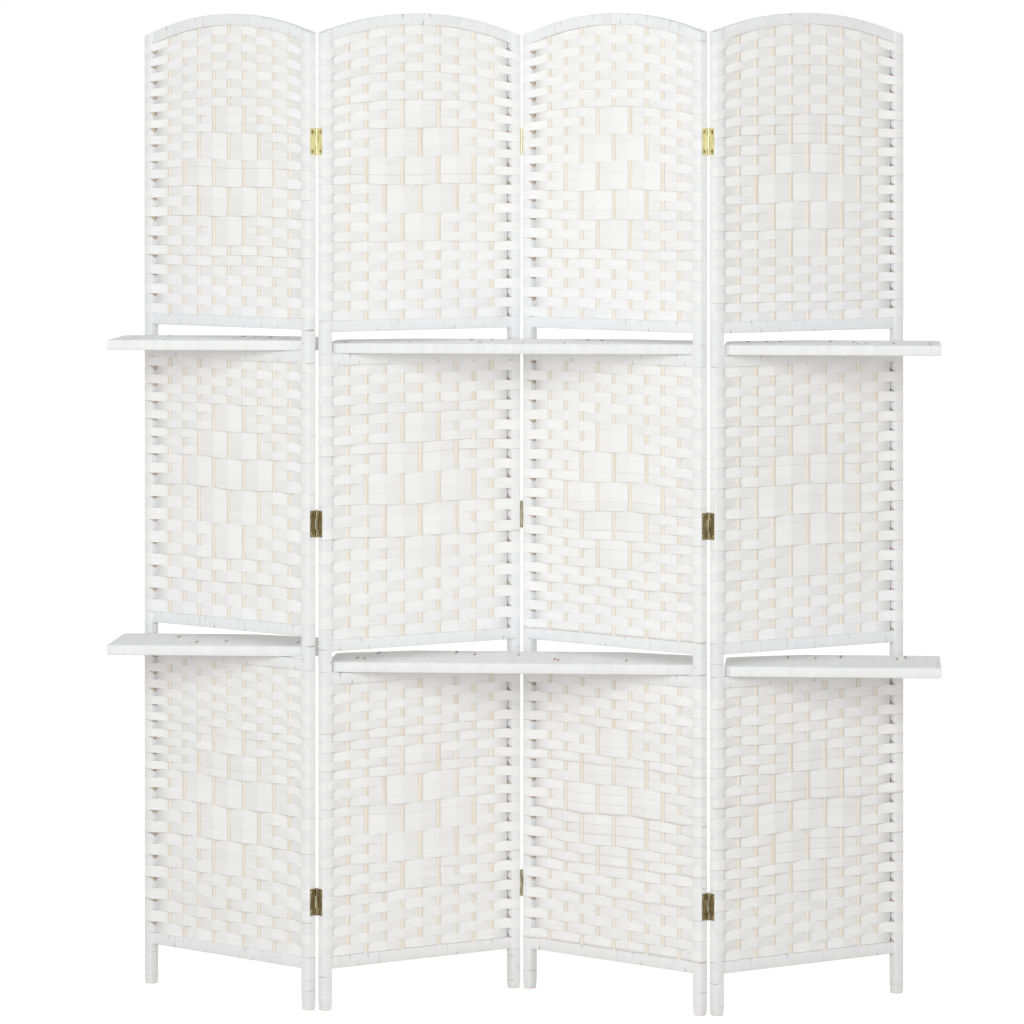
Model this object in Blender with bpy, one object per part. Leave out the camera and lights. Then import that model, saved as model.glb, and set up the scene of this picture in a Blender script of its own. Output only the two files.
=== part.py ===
"""Folding screen of four woven panels, with six shelf boards laid through its slots.

Units are metres and +Z is up. X runs along the screen, and Y runs from the front to the back.
The origin is under the middle of the screen, on the floor.
"""
import math

import bmesh
import bpy
from mathutils import Matrix, Vector

# Panel frame
screen_height = 1.700
panel_width = 0.400
post_side = 0.017
post_corner_radius = 0.003
post_corner_steps = 2
post_foot_bevel = 0.001
post_top_bevel = 0.002
fold_angle = math.radians(37.3)

# Rails
rail_height = 0.020
rail_depth = 0.013
rail_edge = 0.0015
foot_height = 0.070
arch_rise = 0.035
arch_thickness = 0.020
arch_steps = 12

# Shelf slots, measured from the floor to the top of the rail that carries the board
lower_slot_height = 0.573
upper_slot_height = 1.117
slot_opening = 0.037
left_panel_lower_raise = 0.025
left_panel_upper_raise = 0.004

# Woven infill
infill_thickness = 0.004
stick_count = 9
stick_diameter = 0.0056
ribbon_pitch = 0.0165
ribbon_thickness = 0.0020
ribbons_per_block = 3
block_seam = 0.0012
diamond_reach = 3

# Shelf boards
board_thickness = 0.018
board_depth = 0.192
board_edge_radius = 0.003
side_board_joint_gap = 0.0014
middle_board_joint_gap = 0.016
front_clip_x = 0.010
front_clip_y = 0.013
back_clip_x = 0.130
back_clip_y = 0.048
left_board_overhang = 0.032
right_board_overhang = 0.060
left_board_set_back = 0.024
middle_board_set_back = 0.014
right_board_set_back = -0.005

# Hinges
lower_hinge_height = 0.184
upper_hinge_drop = 0.186
middle_hinge_share = 0.4973
leaf_height = 0.045
leaf_width = 0.0147
leaf_thickness = 0.0009
pin_radius = 0.0008
pin_head_radius = 0.0019
pin_head_height = 0.0010
pin_axis_stand_off = 0.001
middle_knuckle_share = 0.44
knuckle_sweep = math.radians(285)
knuckle_steps = 8
pin_sides = 8

# Clearances
seat_gap = 0.0003
running_gap = 0.0003
cut_overrun = 0.002

# Roundings
bevel_profile = 0.5
sharp_edge_angle = math.radians(35)

# Sizes that follow from the ones above
post_height = screen_height - arch_rise
upper_hinge_height = post_height - upper_hinge_drop
middle_hinge_height = lower_hinge_height + middle_hinge_share * (upper_hinge_height - lower_hinge_height)
knuckle_bore = pin_radius + running_gap
knuckle_radius = knuckle_bore + leaf_thickness
hinge_gap = 2 * (knuckle_radius + seat_gap)
pin_offset = post_side / 2 + pin_axis_stand_off
panel_run = panel_width + hinge_gap
joint_step_x = panel_run * math.cos(fold_angle) + 2 * pin_offset * math.sin(fold_angle)
joint_step_y = panel_run * math.sin(fold_angle) - 2 * pin_offset * math.cos(fold_angle)
near_y = -joint_step_y / 2
far_y = joint_step_y / 2
middle_x = (left_board_overhang - right_board_overhang) / 2
side_board_length = joint_step_x + left_board_overhang - side_board_joint_gap
middle_board_length = 2 * (joint_step_x - middle_board_joint_gap)
rail_start = post_side + seat_gap
rail_end = panel_width - post_side - seat_gap

# Colours of the finishes, as linear values
paper_colour = (0.86, 0.86, 0.85, 1.0)
woven_colour = (0.84, 0.83, 0.80, 1.0)
brass_colour = (0.55, 0.40, 0.14, 1.0)


def clear_scene():
    for item in list(bpy.data.objects):
        bpy.data.objects.remove(item, do_unlink=True)


def finish(name, colour, roughness, metallic):
    """One Principled material."""
    material = bpy.data.materials.new(name)
    material.use_nodes = True
    shader = material.node_tree.nodes["Principled BSDF"]
    shader.inputs["Base Color"].default_value = colour
    shader.inputs["Roughness"].default_value = roughness
    shader.inputs["Metallic"].default_value = metallic
    return material


def add_object(name, shape, material, parent):
    """Turn a bmesh into an object that hangs from its panel's empty."""
    bmesh.ops.recalc_face_normals(shape, faces=shape.faces)
    mesh = bpy.data.meshes.new(name)
    shape.to_mesh(mesh)
    shape.free()
    mesh.materials.append(material)
    item = bpy.data.objects.new(name, mesh)
    bpy.context.collection.objects.link(item)
    item.parent = parent
    return item


def shade_round(item):
    item.data.shade_smooth()
    item.data.set_sharp_from_angle(angle=sharp_edge_angle)


def add_loop(shape, points):
    return [shape.verts.new(point) for point in points]


def bridge(shape, first, second):
    """Close the band between two loops of as many points."""
    count = len(first)
    for i in range(count):
        j = (i + 1) % count
        shape.faces.new((first[i], first[j], second[j], second[i]))


def loft(loops):
    """A closed body through a row of loops, capped at both ends."""
    shape = bmesh.new()
    rings = [add_loop(shape, loop) for loop in loops]
    for first, second in zip(rings, rings[1:]):
        bridge(shape, first, second)
    shape.faces.new(list(reversed(rings[0])))
    shape.faces.new(rings[-1])
    return shape


def rounded_square(half, radius):
    """Corner points of a square with rounded corners, anticlockwise."""
    points = []
    for quarter in range(4):
        start = quarter * math.pi / 2
        corner_x = (half - radius) * (1 if quarter in (0, 3) else -1)
        corner_y = (half - radius) * (1 if quarter in (0, 1) else -1)
        for step in range(post_corner_steps + 1):
            angle = start + step * math.pi / 2 / post_corner_steps
            points.append((corner_x + radius * math.cos(angle), corner_y + radius * math.sin(angle)))
    return points


def arch_height(x, drop=0.0):
    """Height of the arch over a place on the panel's width, drop below its crest line."""
    half_span = panel_width / 2
    radius = (half_span ** 2 + arch_rise ** 2) / (2 * arch_rise)
    return screen_height - radius + math.sqrt((radius - drop) ** 2 - (x - half_span) ** 2)


def make_post(name, centre_x, material, parent):
    """A square post with rounded corners, eased at its foot. Its top follows the arch's line."""
    rings = (
        (False, 0.0, post_foot_bevel),
        (False, post_foot_bevel, 0.0),
        (True, post_top_bevel, 0.0),
        (True, 0.0, post_top_bevel),
    )
    loops = []
    for at_top, distance, inset in rings:
        outline = rounded_square(post_side / 2 - inset, post_corner_radius - inset)
        loop = []
        for x, y in outline:
            height = arch_height(centre_x + x) - distance if at_top else distance
            loop.append((centre_x + x, y, height))
        loops.append(loop)
    post = add_object(name, loft(loops), material, parent)
    shade_round(post)
    return post


def chamfered_section(low, high, half_depth, edge):
    """Points of a rail's cross-section in Y and Z."""
    return [
        (-half_depth, low + edge),
        (-half_depth + edge, low),
        (half_depth - edge, low),
        (half_depth, low + edge),
        (half_depth, high - edge),
        (half_depth - edge, high),
        (-half_depth + edge, high),
        (-half_depth, high - edge),
    ]


def make_arch_rail(name, material, parent):
    """The bent top rail, held between the two posts."""
    loops = []
    for step in range(arch_steps + 1):
        x = rail_start + (rail_end - rail_start) * step / arch_steps
        section = chamfered_section(arch_height(x, arch_thickness), arch_height(x), rail_depth / 2, rail_edge)
        loops.append([(x, y, z) for y, z in section])
    rail = add_object(name, loft(loops), material, parent)
    shade_round(rail)
    return rail


def stick_stations():
    """Places across the infill: its two ends, and the crown of each stick with a foot beside it.

    Each is the place, the stick's number from the middle one, and whether it is on the crown.
    """
    middle = (stick_count - 1) // 2
    half_stick = stick_diameter / 2
    places = [(rail_start, middle + 1, False)]
    for number in range(-middle, middle + 1):
        x = panel_width / 2 + number * (rail_end - rail_start) / (stick_count + 1)
        places += [(x - half_stick, number, False), (x, number, True), (x + half_stick, number, False)]
    places.append((rail_end, middle + 1, False))
    return places


def weave_faces(block_row, stick, on_crown):
    """Front and back of the weave at a stick, in a row of the diamond's blocks.

    The ribbons of a block pass together behind one stick and in front of the next. Around the
    diamond single ribbons do so in turns, which this solid evens out into a plain sheet.
    """
    if block_row is None or abs(stick) > diamond_reach - abs(block_row):
        return -infill_thickness / 2, infill_thickness / 2
    behind = (abs(stick) + block_row + diamond_reach) % 2 == 0
    ribbon_middle = (stick_diameter + ribbon_thickness) / 2 * (1 if behind else -1)
    front = ribbon_middle - ribbon_thickness / 2
    back = ribbon_middle + ribbon_thickness / 2
    if on_crown and behind:
        front = -stick_diameter / 2
    elif on_crown:
        back = stick_diameter / 2
    return front, back


def block_levels(middle, room):
    """Heights at which the diamond's rows of blocks start and end, with each row's number.

    The diamond keeps to whole blocks in the room above and below its middle.
    """
    block = ribbons_per_block * ribbon_pitch
    reach = min(diamond_reach - 1, int((room - block_seam) / block - 1 / 2))
    first = middle - (reach + 1 / 2) * block
    levels = [(first - block_seam / 2, None)]
    for row in range(-reach, reach + 1):
        start = first + (row + reach) * block
        levels += [(start + block_seam / 2, row), (start + block - block_seam / 2, row)]
    levels.append((first + (2 * reach + 1) * block + block_seam / 2, None))
    return levels


def infill_section(low, high, levels, arched, stick, on_crown):
    """Cross-section in Y and Z of a woven field with the rails that hold it.

    The points run up the back and down the front. An arched field has no rail of its own on top.
    """
    half_rail = rail_depth / 2
    sheet_low = low + rail_height
    sheet_high = high if arched else high - rail_height
    back = [(half_rail - rail_edge, low), (half_rail, low + rail_edge), (half_rail, sheet_low)]
    front = [(-y, z) for y, z in back]
    for z, row in [(sheet_low, None)] + levels + [(sheet_high, None)]:
        front_y, back_y = weave_faces(row, stick, on_crown)
        front.append((front_y, z))
        back.append((back_y, z))
    if not arched:
        rail = [(half_rail, sheet_high), (half_rail, high - rail_edge), (half_rail - rail_edge, high)]
        front += [(-y, z) for y, z in rail]
        back += rail
    return back + front[::-1]


def make_infill(name, low, high, material, parent):
    """A woven field with a rail under it and a rail over it."""
    levels = block_levels((low + high) / 2, (high - low) / 2 - rail_height)
    loops = []
    for x, stick, on_crown in stick_stations():
        section = infill_section(low, high, levels, False, stick, on_crown)
        loops.append([(x, y, z) for y, z in section])
    return add_object(name, loft(loops), material, parent)


def make_arched_infill(name, low, material, parent):
    """The top woven field, whose upper edge follows the arch."""
    drop = arch_thickness + seat_gap
    middle = (low + rail_height + arch_height(panel_width / 2, drop)) / 2
    levels = block_levels(middle, arch_height(rail_end, drop) - middle)
    loops = []
    for x, stick, on_crown in stick_stations():
        section = infill_section(low, arch_height(x, drop), levels, True, stick, on_crown)
        loops.append([(x, y, z) for y, z in section])
    return add_object(name, loft(loops), material, parent)


def board_outline(length, clipped_left, clipped_right):
    """Outline of a board from its front left corner, anticlockwise from above.

    An end that lies by a near post is clipped at the front to pass the post,
    and at the back, where it would stand out behind the screen.
    """
    outline = []
    if clipped_left:
        outline += [(front_clip_x, 0.0)]
    else:
        outline += [(0.0, 0.0)]
    if clipped_right:
        outline += [(length - front_clip_x, 0.0), (length, front_clip_y)]
        outline += [(length, board_depth - back_clip_y), (length - back_clip_x, board_depth)]
    else:
        outline += [(length, 0.0), (length, board_depth)]
    if clipped_left:
        outline += [(back_clip_x, board_depth), (0.0, board_depth - back_clip_y), (0.0, front_clip_y)]
    else:
        outline += [(0.0, board_depth)]
    return outline


def make_board(name, corner, length, clipped_left, clipped_right, material, parent):
    """A flat board with eased edges. Its corner is its lowest front left point in the world."""
    outline = board_outline(length, clipped_left, clipped_right)
    low = [(x, y, 0.0) for x, y in outline]
    high = [(x, y, board_thickness) for x, y in outline]
    shape = loft([low, high])
    bmesh.ops.bevel(shape, geom=shape.edges[:], offset=board_edge_radius, segments=2, profile=bevel_profile,
                    affect="EDGES", clamp_overlap=True, material=-1)
    board = add_object(name, shape, material, parent)
    board.matrix_parent_inverse = parent.matrix_world.inverted()
    board.location = corner
    shade_round(board)
    return board


def leaf_outline():
    """Plan of a hinge leaf and the knuckle rolled from it.

    The first number points from the pin to the post, the second along the leaf from the pin.
    """
    outline = [(knuckle_bore, leaf_width), (knuckle_radius, leaf_width)]
    for radius, turns in ((knuckle_radius, range(knuckle_steps + 1)),
                          (knuckle_bore, range(knuckle_steps, -1, -1))):
        for step in turns:
            angle = -knuckle_sweep * step / knuckle_steps
            outline.append((radius * math.cos(angle), radius * math.sin(angle)))
    return outline


def knuckle_spans():
    """Heights of the three knuckles, from the leaf's lower end: low, middle and high."""
    outer = leaf_height * (1 - middle_knuckle_share) / 2
    half_gap = running_gap / 2
    return (
        (0.0, outer - half_gap),
        (outer + half_gap, leaf_height - outer - half_gap),
        (leaf_height - outer + half_gap, leaf_height),
    )


def make_leaf(name, pivot, side, pin_side, height, keeps_outer, material, parent):
    """A leaf with its rolled knuckles, notched where the other leaf's knuckles turn.

    side is -1 on a post's right end and +1 on a left end, pin_side is +1 for a pin at the back.
    """
    base = height - leaf_height / 2

    def place(toward_post, along, z):
        return (pivot + side * toward_post, pin_side * (pin_offset - along), base + z)

    outline = leaf_outline()
    loops = [[place(u, v, z) for u, v in outline] for z in (0.0, leaf_height)]
    leaf = add_object(name, loft(loops), material, parent)

    low_span, middle_span, high_span = knuckle_spans()
    if keeps_outer:
        notches = [(low_span[1], high_span[0])]
    else:
        notches = [(-cut_overrun, middle_span[0]), (middle_span[1], leaf_height + cut_overrun)]
    reach = knuckle_radius + running_gap
    for number, (low, high) in enumerate(notches):
        corners = [(-reach, -reach), (reach + seat_gap, -reach), (reach + seat_gap, reach), (-reach, reach)]
        cutter_loops = [[place(u, v, z) for u, v in corners] for z in (low, high)]
        cutter = add_object(f"{name}_notch_{number}", loft(cutter_loops), material, parent)
        cutter.hide_render = True
        cutter.display_type = "WIRE"
        cut = leaf.modifiers.new(f"notch_{number}", "BOOLEAN")
        cut.operation = "DIFFERENCE"
        cut.solver = "EXACT"
        cut.object = cutter
    return leaf


def make_pin(name, pivot, pin_side, height, material, parent):
    """A hinge pin with a low domed head at each end."""
    half = leaf_height / 2 + running_gap
    crown = pin_head_height / 2
    profile = (
        (pin_head_radius - crown, -half - pin_head_height),
        (pin_head_radius, -half),
        (pin_radius, -half),
        (pin_radius, half),
        (pin_head_radius, half),
        (pin_head_radius - crown, half + pin_head_height),
    )
    loops = []
    for radius, z in profile:
        loop = []
        for side in range(pin_sides):
            angle = 2 * math.pi * side / pin_sides
            x = pivot + radius * math.cos(angle)
            y = pin_side * pin_offset + radius * math.sin(angle)
            loop.append((x, y, height + z))
        loops.append(loop)
    pin = add_object(name, loft(loops), material, parent)
    shade_round(pin)
    return pin


def add_panel_frame(name, pivot_place, turn, local_pivot):
    """An empty on the panel's hinge line. The panel's pieces keep the panel's own coordinates.

    In these, X runs from the left post to the right one, and Y from the front to the back.
    """
    hinge_line = bpy.data.objects.new(name, None)
    bpy.context.collection.objects.link(hinge_line)
    hinge_line.location = pivot_place
    hinge_line.rotation_euler = (0.0, 0.0, turn)
    bpy.context.view_layer.update()
    return hinge_line, -Vector(local_pivot)


def build():
    clear_scene()
    paper = finish("wrapped_paper", paper_colour, 0.75, 0.0)
    woven = finish("woven_paper", woven_colour, 0.80, 0.0)
    brass = finish("brass", brass_colour, 0.30, 1.0)

    left_pivot = -hinge_gap / 2
    right_pivot = panel_width + hinge_gap / 2
    joint_x = [middle_x + joint_step_x * step for step in (-1, 0, 1)]
    hinge_lines = {
        1: ((joint_x[0], near_y, 0.0), -fold_angle, (right_pivot, pin_offset, 0.0)),
        2: ((joint_x[0], near_y, 0.0), fold_angle, (left_pivot, pin_offset, 0.0)),
        3: ((joint_x[1], far_y, 0.0), -fold_angle, (left_pivot, -pin_offset, 0.0)),
        4: ((joint_x[2], near_y, 0.0), fold_angle, (left_pivot, pin_offset, 0.0)),
    }

    frames = {}
    for number, (place, turn, local_pivot) in hinge_lines.items():
        line, shift = add_panel_frame(f"hinge_line_panel_{number}", place, turn, local_pivot)
        frame = bpy.data.objects.new(f"panel_frame_{number}", None)
        bpy.context.collection.objects.link(frame)
        frame.parent = line
        frame.location = shift
        frames[number] = frame
    bpy.context.view_layer.update()

    for number, frame in frames.items():
        low_slot = lower_slot_height + (left_panel_lower_raise if number == 1 else 0.0)
        high_slot = upper_slot_height + (left_panel_upper_raise if number == 1 else 0.0)
        make_post(f"panel_{number}_left_post", post_side / 2, paper, frame)
        make_post(f"panel_{number}_right_post", panel_width - post_side / 2, paper, frame)
        make_arch_rail(f"panel_{number}_arch_rail", paper, frame)
        make_infill(f"panel_{number}_lower_weave", foot_height, low_slot, woven, frame)
        make_infill(f"panel_{number}_middle_weave", low_slot + slot_opening, high_slot, woven, frame)
        make_arched_infill(f"panel_{number}_upper_weave", high_slot + slot_opening, woven, frame)

    hinge_levels = (
        ("lower", lower_hinge_height),
        ("middle", middle_hinge_height),
        ("upper", upper_hinge_height),
    )
    for joint, pin_side in ((1, 1), (2, -1), (3, 1)):
        for level, height in hinge_levels:
            stem = f"joint_{joint}_{level}_hinge"
            make_leaf(f"{stem}_left_leaf", right_pivot, -1, pin_side, height, True, brass, frames[joint])
            make_leaf(f"{stem}_right_leaf", left_pivot, 1, pin_side, height, False, brass, frames[joint + 1])
            make_pin(f"{stem}_pin", right_pivot, pin_side, height, brass, frames[joint])

    left_end = joint_x[0] - joint_step_x - left_board_overhang
    right_end = joint_x[2] + joint_step_x + right_board_overhang
    board_levels = (
        ("lower", lower_slot_height, left_panel_lower_raise),
        ("upper", upper_slot_height, left_panel_upper_raise),
    )
    for level, slot, left_raise in board_levels:
        rest = slot + seat_gap
        left_rest = rest + left_raise
        make_board(f"{level}_left_board", (left_end, near_y + left_board_set_back, left_rest),
                   side_board_length, False, True, paper, frames[1])
        make_board(f"{level}_middle_board",
                   (joint_x[0] + middle_board_joint_gap, near_y + middle_board_set_back, rest),
                   middle_board_length, True, True, paper, frames[2])
        make_board(f"{level}_right_board",
                   (right_end - side_board_length, near_y + right_board_set_back, rest),
                   side_board_length, True, False, paper, frames[4])


build()
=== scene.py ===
# %% [markdown]
# # A folding screen woven of paper ribbon
#
# The screen has four panels on square posts. Between the posts of a panel stand nine natural
# sticks, and white paper ribbon is woven over and under them, row by row. This lesson dresses
# the bare model of the screen: every row of ribbon, every turn of the wrapping, the boards and
# the hinges get their real form and finish. First the bare model is loaded. It is the frame
# that everything else is measured from, and it is never moved.

# %% Load the frame
import math
import random

import bmesh
import bpy
from mathutils import Matrix, Vector


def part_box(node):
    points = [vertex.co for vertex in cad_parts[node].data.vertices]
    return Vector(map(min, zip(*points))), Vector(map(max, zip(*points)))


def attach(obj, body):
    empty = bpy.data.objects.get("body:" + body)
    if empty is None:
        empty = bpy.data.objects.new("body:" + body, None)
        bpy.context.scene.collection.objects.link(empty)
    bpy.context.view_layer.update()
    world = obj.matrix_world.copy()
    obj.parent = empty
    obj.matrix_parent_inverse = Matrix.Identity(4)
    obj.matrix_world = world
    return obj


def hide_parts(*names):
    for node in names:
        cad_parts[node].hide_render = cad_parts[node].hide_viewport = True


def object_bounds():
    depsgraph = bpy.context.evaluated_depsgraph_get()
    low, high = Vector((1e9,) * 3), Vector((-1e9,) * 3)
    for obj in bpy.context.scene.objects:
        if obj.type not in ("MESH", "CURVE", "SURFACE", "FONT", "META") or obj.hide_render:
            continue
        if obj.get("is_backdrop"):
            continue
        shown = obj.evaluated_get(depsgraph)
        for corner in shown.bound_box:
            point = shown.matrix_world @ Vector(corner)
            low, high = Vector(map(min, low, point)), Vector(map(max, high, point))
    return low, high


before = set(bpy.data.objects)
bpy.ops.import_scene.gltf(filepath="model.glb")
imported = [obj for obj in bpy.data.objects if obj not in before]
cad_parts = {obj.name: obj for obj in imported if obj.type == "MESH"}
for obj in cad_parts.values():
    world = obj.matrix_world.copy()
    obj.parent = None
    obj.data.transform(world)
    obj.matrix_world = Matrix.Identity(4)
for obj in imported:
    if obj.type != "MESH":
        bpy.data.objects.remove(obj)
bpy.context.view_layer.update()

# %% [markdown]
# ## The camera
#
# The photograph is taken from far away with a long lens, at about head height, so uprights stay
# upright and the panels fold without strong perspective. The lens is shifted down, as on a view
# camera, which keeps the verticals parallel. Tilting the camera would make them lean.

# %% Camera
sensor_width = 0.036
camera_place = (0.5764, -8.104, 1.4936)
camera_turn = math.radians(4.227)
focal_length_mm = 165.83
frame_shift = -0.3701

lens = bpy.data.cameras.new("view")
lens.sensor_width = sensor_width * 1000
lens.lens = focal_length_mm
lens.shift_y = frame_shift
camera = bpy.data.objects.new("view", lens)
camera.location = camera_place
camera.rotation_euler = (math.pi / 2, 0.0, camera_turn)
bpy.context.scene.collection.objects.link(camera)
bpy.context.scene.camera = camera
bpy.context.scene.view_settings.view_transform = "Standard"
print("Camera at", camera_place)

# %% [markdown]
# ## Light and floor
#
# White paper on a white ground is lit softly from the front, from above the camera. The world
# fills the shadows. The ground has to show as pure white without throwing more light on the
# screen, so the world has its full strength only where the camera sees it, in a reflection too,
# and a weaker one where it lights the screen.

# %% World
world_fill = 0.60

world = bpy.data.worlds.new("studio")
world.use_nodes = True
bpy.context.scene.world = world


def strongest_ray(tree, kinds):
    """One where a ray is of one of these kinds, zero elsewhere."""
    rays = tree.nodes.new("ShaderNodeLightPath")
    value = rays.outputs[kinds[0]]
    for kind in kinds[1:]:
        either = tree.nodes.new("ShaderNodeMath")
        either.operation = "MAXIMUM"
        tree.links.new(value, either.inputs[0])
        tree.links.new(rays.outputs[kind], either.inputs[1])
        value = either.outputs[0]
    return value


def between(tree, value, low, high):
    level = tree.nodes.new("ShaderNodeMapRange")
    level.inputs["To Min"].default_value = low
    level.inputs["To Max"].default_value = high
    tree.links.new(value, level.inputs["Value"])
    return level.outputs["Result"]


seen = strongest_ray(world.node_tree, ("Is Camera Ray", "Is Glossy Ray", "Is Transmission Ray"))
background = world.node_tree.nodes["Background"]
background.inputs["Color"].default_value = (1.0, 1.0, 1.0, 1.0)
world.node_tree.links.new(between(world.node_tree, seen, world_fill, 1.0), background.inputs["Strength"])
print("World fill", world_fill)

# %% [markdown]
# One wide square lamp gives the soft light. It is very slightly cool and the floor slightly
# warm, so the lit paper stays neutral while the light that comes up from the floor is warm. The
# floor glows for camera rays alone, so it looks white without lighting the screen.

# %% Lamp and floor
lamp_power = 132.0
lamp_size = 2.4
lamp_place = (-0.45, -5.5, 2.30)
lamp_colour = (0.958, 0.980, 1.0)
lamp_aim = (0.0, 0.0, 0.85)
floor_size = 60.0
floor_colour = (0.80, 0.782, 0.75, 1.0)
floor_glow = 0.62

softbox = bpy.data.lights.new("softbox", "AREA")
softbox.shape = "SQUARE"
softbox.size = lamp_size
softbox.energy = lamp_power
softbox.color = lamp_colour
lamp = bpy.data.objects.new("softbox", softbox)
lamp.location = lamp_place
lamp.rotation_euler = (Vector(lamp_aim) - Vector(lamp_place)).to_track_quat("-Z", "Y").to_euler()
bpy.context.scene.collection.objects.link(lamp)

floor_shape = bmesh.new()
bmesh.ops.create_grid(floor_shape, x_segments=1, y_segments=1, size=floor_size / 2)
floor_mesh = bpy.data.meshes.new("floor")
floor_shape.to_mesh(floor_mesh)
floor_shape.free()
floor = bpy.data.objects.new("floor", floor_mesh)
bpy.context.scene.collection.objects.link(floor)
floor_finish = bpy.data.materials.new("pale_floor")
floor_finish.use_nodes = True
floor_shader = floor_finish.node_tree.nodes["Principled BSDF"]
floor_shader.inputs["Base Color"].default_value = floor_colour
floor_shader.inputs["Roughness"].default_value = 0.9
floor_shader.inputs["Specular IOR Level"].default_value = 0.0
floor_shader.inputs["Emission Color"].default_value = (1.0, 1.0, 1.0, 1.0)
seen = strongest_ray(floor_finish.node_tree, ("Is Camera Ray",))
glow = between(floor_finish.node_tree, seen, 0.0, floor_glow)
floor_finish.node_tree.links.new(glow, floor_shader.inputs["Emission Strength"])
floor_mesh.materials.append(floor_finish)
floor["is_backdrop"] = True
print("Lamp of", lamp_power, "watts at", lamp_place)

# %% [markdown]
# ## The panels' own coordinates
#
# The panels stand in a zigzag, so nothing on them runs along the world's axes. Each piece is
# modelled flat, in its panel's own coordinates: X from the left post to the right one, Y from
# the front to the back. A matrix then turns it into place. The matrix is read from where the
# two posts stand in the frame.

# %% Panel frames
post_side = 0.017
panel_width = 0.400
seat_gap = 0.0003


def middle_of(node):
    low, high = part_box(node)
    return (low + high) / 2


def panel_matrix(number):
    left = middle_of(f"panel_{number}_left_post")
    right = middle_of(f"panel_{number}_right_post")
    along = Vector((right.x - left.x, right.y - left.y, 0.0)).normalized()
    corner = left - along * post_side / 2
    return Matrix((
        (along.x, -along.y, 0, corner.x),
        (along.y, along.x, 0, corner.y),
        (0, 0, 1, 0),
        (0, 0, 0, 1),
    ))


panels = {number: panel_matrix(number) for number in (1, 2, 3, 4)}
span_start = post_side + seat_gap
span_end = panel_width - span_start
for number, turned in panels.items():
    degrees = math.degrees(math.atan2(turned[1][0], turned[0][0]))
    print("Panel", number, "is turned", round(degrees, 2), "degrees")

# %% [markdown]
# ## Helpers for every piece
#
# A piece is built as a bmesh and then becomes an object. The object stays at the origin, and
# its place is in its mesh, so that patterns on its coordinates don't slide. A ribbon is a grid
# that is bent along a path, with a UV map that runs along it, so that its fibres follow it.

# %% Piece helper
sharp_edge = math.radians(35)


def add_piece(name, shape, body, finishes, turned=None, wall=None, replaced=()):
    if turned is not None:
        bmesh.ops.transform(shape, matrix=turned, verts=shape.verts)
    if wall:
        for edge in shape.edges:
            edge.smooth = not edge.is_boundary
    mesh = bpy.data.meshes.new(name)
    shape.to_mesh(mesh)
    shape.free()
    for finish in finishes:
        mesh.materials.append(finish)
    mesh.shade_smooth()
    if not wall:
        mesh.set_sharp_from_angle(angle=sharp_edge)
    piece = bpy.data.objects.new(name, mesh)
    bpy.context.scene.collection.objects.link(piece)
    if wall:
        skin = piece.modifiers.new("wall", "SOLIDIFY")
        skin.thickness = wall
        skin.offset = 0.0
    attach(piece, body)
    for node in replaced:
        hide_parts(node)
    return piece


def seam_layer(shape):
    return shape.verts.layers.float.get("seam") or shape.verts.layers.float.new("seam")


def bent_strip(shape, along, across, place):
    """A grid of along by across faces. place(i, j) gives a vertex, its UV and how dark its seam is."""
    uv_map = shape.loops.layers.uv.verify()
    seam = seam_layer(shape)
    grid = bmesh.ops.create_grid(shape, x_segments=along, y_segments=across, size=0.5)
    uvs = {}
    for vert in grid["verts"]:
        i = round((vert.co.x + 0.5) * along)
        j = round((vert.co.y + 0.5) * across)
        vert.co, uvs[vert], vert[seam] = place(i, j)
    for face in {face for vert in grid["verts"] for face in vert.link_faces}:
        for loop in face.loops:
            loop[uv_map].uv = uvs[loop.vert]


print("A strip of 4 by 2 faces has", 5 * 3, "points")

# %% [markdown]
# ## Finishes
#
# The ribbon is white paper with fine ribs along its length, and each ribbon is a slightly
# different white. The UV map runs along the ribbon in metres. Noise that is stretched along
# that map gives the ribs, and noise on a far coarser scale gives each ribbon its own tone.

# %% Paper finish
def shader_of(finish):
    return finish.node_tree.nodes["Principled BSDF"]


def new_finish(name, roughness, metallic=0.0):
    finish = bpy.data.materials.new(name)
    finish.use_nodes = True
    shader = shader_of(finish)
    shader.inputs["Roughness"].default_value = roughness
    shader.inputs["Metallic"].default_value = metallic
    return finish


def stretched_noise(finish, source, scale, detail=2.0):
    """Noise on coordinates that are first stretched by a vector."""
    nodes = finish.node_tree.nodes
    links = finish.node_tree.links
    coordinates = nodes.new("ShaderNodeUVMap" if source == "UV" else "ShaderNodeTexCoord")
    stretch = nodes.new("ShaderNodeVectorMath")
    stretch.operation = "MULTIPLY"
    stretch.inputs[1].default_value = scale
    links.new(coordinates.outputs["UV" if source == "UV" else "Object"], stretch.inputs[0])
    noise = nodes.new("ShaderNodeTexNoise")
    noise.inputs["Scale"].default_value = 1.0
    noise.inputs["Detail"].default_value = detail
    links.new(stretch.outputs[0], noise.inputs["Vector"])
    return noise.outputs["Fac"]


def ramp(finish, value, stops):
    nodes = finish.node_tree.nodes
    node = nodes.new("ShaderNodeValToRGB")
    elements = node.color_ramp.elements
    while len(elements) < len(stops):
        elements.new(0.5)
    for element, (place, colour) in zip(elements, stops):
        element.position = place
        element.color = (*colour, 1.0)
    finish.node_tree.links.new(value, node.inputs["Fac"])
    return node.outputs["Color"]


def multiply(finish, first, second):
    node = finish.node_tree.nodes.new("ShaderNodeMix")
    node.data_type = "RGBA"
    node.blend_type = "MULTIPLY"
    node.inputs["Factor"].default_value = 1.0
    finish.node_tree.links.new(first, node.inputs["A"])
    finish.node_tree.links.new(second, node.inputs["B"])
    return node.outputs["Result"]


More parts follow.
